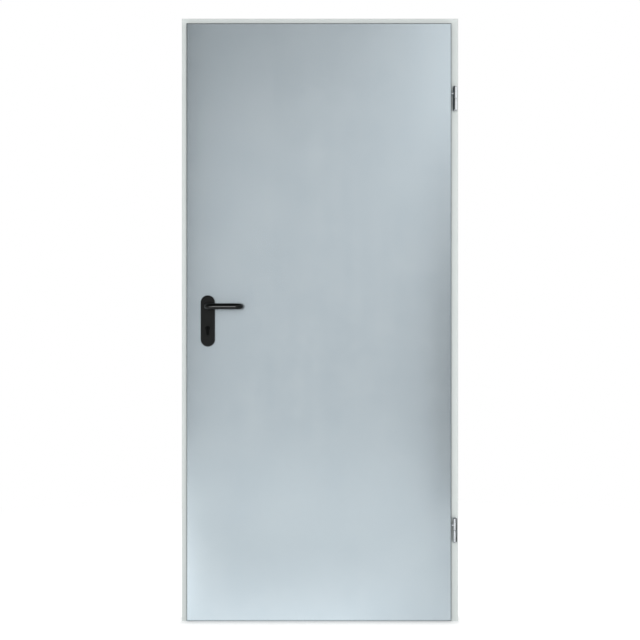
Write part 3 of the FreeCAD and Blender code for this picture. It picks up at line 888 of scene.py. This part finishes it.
def studioDome():
    # Cloth behind the camera that only mirrors see, over turn and rise on a sphere.
    steps, rises = domeLook["steps"], domeLook["rises"]
    turn = np.linspace(-domeLook["turn"], domeLook["turn"], steps)[:, None]
    rise = np.linspace(domeLook["lowest"], domeLook["highest"], rises)[None, :]
    a, e = np.radians(turn), np.radians(rise)
    middle = np.array([(cadBox[0][0] + cadBox[1][0]) / 2, 0, domeLook["height"]])
    way = np.stack([np.sin(a) * np.cos(e), -np.cos(a) * np.cos(e), np.sin(e) + 0 * a], -1)
    grid = middle + domeLook["radius"] * way
    material, tree, output = newMaterial("studio cloth")[:3]
    material.cycles.emission_sampling = "NONE"
    amount = addNode(tree, "ShaderNodeAttribute", attribute_name="glow")
    shader = addNode(tree, "ShaderNodeEmission", {"Strength": amount.outputs["Fac"]})
    tree.links.new(shader.outputs[0], output.inputs[0])
    dome = stageMesh("studio_dome", grid, gridFaces(steps, rises), material)
    layer = dome.data.attributes.new("glow", "FLOAT", "POINT")
    layer.data.foreach_set("value", domeGlow(turn, rise).astype(np.float32).ravel())
    dome.visible_camera = False
    dome.visible_diffuse = False
    dome.visible_shadow = False
    dome.visible_transmission = False


flagLook = {
    "gradeFrom": 0.8, "gradeTo": 1.9,
    # name, both feet from the middle of the frame, top, glow below and above
    "boards": [
        ("front_flag", (0.74, -2.5), (2.5, -2.5), 1.95, 0.21, 0.66),
        ("right_flag", (1.5, -0.6), (1.5, 0.5), 0.62, 0.004, 0.004),
    ],
}


def studioFlags():
    # Upright dark boards that only mirrors see: they shade the leaf's right edge and draw the dark
    # lines along folds and barrels. The front one grows paler upwards, so its top leaves no line.
    middle = (cadBox[0][0] + cadBox[1][0]) / 2
    for name, first, second, top, lower, upper in flagLook["boards"]:
        material, tree, output, place = newMaterial(name)
        material.cycles.emission_sampling = "NONE"
        axes = addNode(tree, "ShaderNodeSeparateXYZ", {0: place})
        grade = addNode(tree, "ShaderNodeMapRange", {
            0: axes.outputs[2], 1: flagLook["gradeFrom"], 2: flagLook["gradeTo"],
            3: lower, 4: upper})
        shader = addNode(tree, "ShaderNodeEmission", {"Strength": grade.outputs[0]})
        tree.links.new(shader.outputs[0], output.inputs[0])
        feet = np.array([first, second])[:, None, :] + np.array([middle, 0.0])
        heights = np.array([0.0, top])[None, :, None]
        grid = np.concatenate([np.broadcast_to(feet, (2, 2, 2)),
                               np.broadcast_to(heights, (2, 2, 1))], -1)
        flag = stageMesh(name, grid, gridFaces(2, 2), material)
        flag.visible_camera = False
        flag.visible_diffuse = False
        flag.visible_shadow = False


def softbox(name, place, target, size, power):
    lamp = bpy.data.lights.new(name, "AREA")
    lamp.shape = "RECTANGLE"
    lamp.size, lamp.size_y = size
    lamp.energy = power
    holder = bpy.data.objects.new(name, lamp)
    bpy.context.scene.collection.objects.link(holder)
    offset = np.array(target, float) - np.array(place, float)
    flat = math.hypot(offset[0], offset[1])
    holder.location = place
    holder.rotation_euler = (math.atan2(flat, -offset[2]), 0, math.atan2(-offset[0], offset[1]))
    holder.visible_glossy = False  # mirrors see the cloth instead


lightSetup = {
    "world": 0.42,
    # name, place, target, size, power
    "boxes": [
        ("front_box", (-0.45, -4.6, 2.1), (-0.45, 0, 1.0), (3.4, 2.2), 97),
        ("left_box", (-3.45, -3.2, 1.3), (-0.45, 0, 1.0), (1.6, 2.2), 34),
        ("right_box", (2.55, -3.2, 1.3), (-0.45, 0, 1.0), (1.6, 2.2), 20),
        ("floor_box", (0.1, -1.9, 0.12), (-0.45, 0, 0.9), (2.0, 0.5), 8),
        ("rear_box", (-0.45, 3.4, 2.6), (-0.45, 0, 1.0), (3.0, 2.4), 60),
    ],
}


def studioLight():
    # White to the camera, to mirrors and through glass, and dimmer as a lamp.
    world = bpy.data.worlds.new("studio")
    bpy.context.scene.world = world
    world.use_nodes = True
    tree = world.node_tree
    tree.nodes.clear()
    rays = addNode(tree, "ShaderNodeLightPath")
    seen = addNode(tree, "ShaderNodeMath", {
        0: rays.outputs["Is Camera Ray"], 1: rays.outputs["Is Glossy Ray"]}, operation="MAXIMUM")
    through = addNode(tree, "ShaderNodeMath", {
        0: seen.outputs[0], 1: rays.outputs["Is Transmission Ray"]}, operation="MAXIMUM")
    level = addNode(tree, "ShaderNodeMapRange", {
        0: through.outputs[0], 3: lightSetup["world"], 4: 1.0})
    shader = addNode(tree, "ShaderNodeBackground", {
        "Strength": level.outputs[0], "Color": (1, 1, 1, 1)})
    output = addNode(tree, "ShaderNodeOutputWorld")
    tree.links.new(shader.outputs[0], output.inputs[0])
    for box in lightSetup["boxes"]:
        softbox(*box)


cameraSetup = {"distance": 4.0, "height": 1.0053, "lens": 67.45, "sensor": 36.0, "clipEnd": 100}


def photoCamera():
    # Straight ahead of the middle of the frame, level, at the distance that the perspective gives.
    lens = bpy.data.cameras.new("photo_camera")
    lens.sensor_width = cameraSetup["sensor"]
    lens.lens = cameraSetup["lens"]
    lens.clip_end = cameraSetup["clipEnd"]
    camera = bpy.data.objects.new("photo_camera", lens)
    bpy.context.scene.collection.objects.link(camera)
    jamb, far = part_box("hinge_jamb"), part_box("lock_jamb")
    camera.location = ((jamb[1].x + far[0].x) / 2, jamb[0].y - cameraSetup["distance"],
                       cameraSetup["height"])
    camera.rotation_euler = (math.pi / 2, 0, 0)
    bpy.context.scene.camera = camera


studioFloor()
studioDome()
studioFlags()
studioLight()
photoCamera()
bpy.context.scene.view_settings.view_transform = "Standard"
print("studio done")
